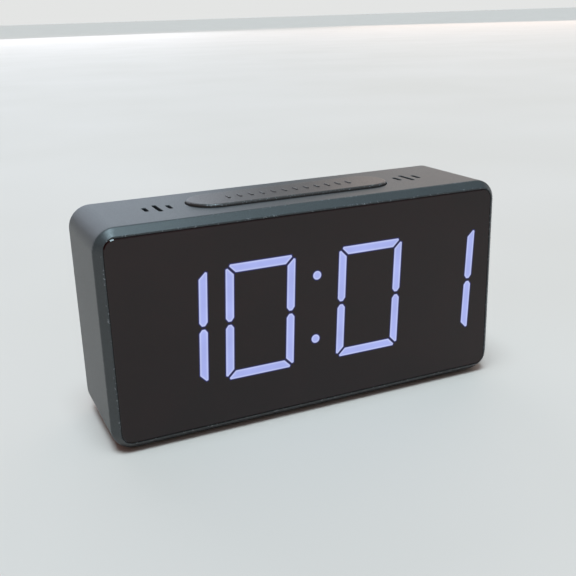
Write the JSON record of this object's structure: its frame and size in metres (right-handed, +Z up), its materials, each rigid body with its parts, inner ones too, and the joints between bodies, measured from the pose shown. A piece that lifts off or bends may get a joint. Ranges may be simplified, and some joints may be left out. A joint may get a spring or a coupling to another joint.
{
  "type": "digital alarm clock",
  "caption": "Desk alarm clock with a glowing segment display behind a dark mirror front, a long snooze bar on top and keys, a power socket and a battery bay behind.",
  "frame": {"origin": "middle of the base, on the plane that the feet stand on", "axes": "+X to the right as the clock is read, +Y to the back, +Z up"},
  "size_m": [0.16, 0.0434, 0.0825],
  "materials": {
    "case_plastic": "fine spark-eroded texture",
    "key_plastic": "satin",
    "mirror_acrylic": "polished, dark one-way mirror",
    "tape_foam": "black foam tape",
    "film_smoked": "printed film",
    "reflector_plastic": "moulded, satin",
    "resin_lit": "milky resin, lit",
    "resin_dark": "milky resin, unlit behind a dark film",
    "chip_resin": "clear over phosphor",
    "board_laminate": "solder mask",
    "screw_steel": "zinc plated",
    "switch_plastic": "moulded",
    "plunger_plastic": "moulded, natural",
    "spring_steel": "drawn wire",
    "contact_nickel": "nickel plated",
    "cell_jacket": "printed sleeve, plain",
    "can_metal": "drawn can",
    "cable_vinyl": "flat vinyl cable",
    "lead_vinyl": "vinyl sleeve",
    "foot_rubber": "matt"
  },
  "bodies": {
    "clock": {"case_shell": "case_plastic", "rear_cover": "case_plastic", "mirror_panel": "mirror_acrylic", "mirror_tape": "tape_foam", "segment_film": "film_smoked", "display_reflector": "reflector_plastic", "lit_segments": "resin_lit", "unlit_segments": "resin_dark", "led_chips": "chip_resin", "display_board": "board_laminate", "main_board": "board_laminate", "snooze_board": "board_laminate", "display_screws": "screw_steel", "main_board_screws": "screw_steel", "snooze_board_screws": "screw_steel", "cover_screws": "screw_steel", "snooze_switch": "switch_plastic", "key_switches": "switch_plastic", "slide_switch": "switch_plastic", "power_socket": "switch_plastic", "buzzer": "switch_plastic", "controller_chip": "switch_plastic", "temperature_sensor": "switch_plastic", "snooze_springs": "spring_steel", "battery_springs": "contact_nickel", "battery_contacts": "contact_nickel", "battery_pins": "contact_nickel", "socket_pin": "contact_nickel", "battery_cells": "cell_jacket", "crystal": "can_metal", "capacitor": "can_metal", "display_cable": "cable_vinyl", "snooze_cable": "cable_vinyl", "cable_headers": "plunger_plastic", "battery_leads": "lead_vinyl", "feet": "foot_rubber"},
    "snooze": {"snooze_bar": "case_plastic", "snooze_plunger": "plunger_plastic"},
    "mode": {"mode_key": "key_plastic", "mode_plunger": "plunger_plastic"},
    "alarm": {"alarm_key": "key_plastic", "alarm_plunger": "plunger_plastic"},
    "up": {"up_key": "key_plastic", "up_plunger": "plunger_plastic"},
    "down": {"down_key": "key_plastic", "down_plunger": "plunger_plastic"},
    "slide": {"slide_knob": "key_plastic"},
    "door": {"battery_door": "case_plastic"}
  },
  "joints": [
    {"name": "snooze_press", "type": "slide", "parent": "clock", "child": "snooze", "axis": [0, 0, -1], "range_m": [0, 0.0007], "stiffness_N_per_m": 600, "springref_m": -0.0005, "deforming": ["snooze_springs"]},
    {"name": "mode_press", "type": "slide", "parent": "clock", "child": "mode", "axis": [0, -1, 0], "range_m": [0, 0.0005], "stiffness_N_per_m": 500, "springref_m": -0.0004},
    {"name": "alarm_press", "type": "slide", "parent": "clock", "child": "alarm", "axis": [0, -1, 0], "range_m": [0, 0.0005], "stiffness_N_per_m": 500, "springref_m": -0.0004},
    {"name": "up_press", "type": "slide", "parent": "clock", "child": "up", "axis": [0, -1, 0], "range_m": [0, 0.0005], "stiffness_N_per_m": 500, "springref_m": -0.0004},
    {"name": "down_press", "type": "slide", "parent": "clock", "child": "down", "axis": [0, -1, 0], "range_m": [0, 0.0005], "stiffness_N_per_m": 500, "springref_m": -0.0004},
    {"name": "dimmer_slide", "type": "slide", "parent": "clock", "child": "slide", "axis": [1, 0, 0], "range_m": [-0.002, 0.002]},
    {"name": "battery_door_hinge", "type": "hinge", "parent": "clock", "child": "door", "pos_m": [0, 0.02015, 0.01], "axis": [-1, 0, 0], "range_deg": [0, 75]}
  ]
}
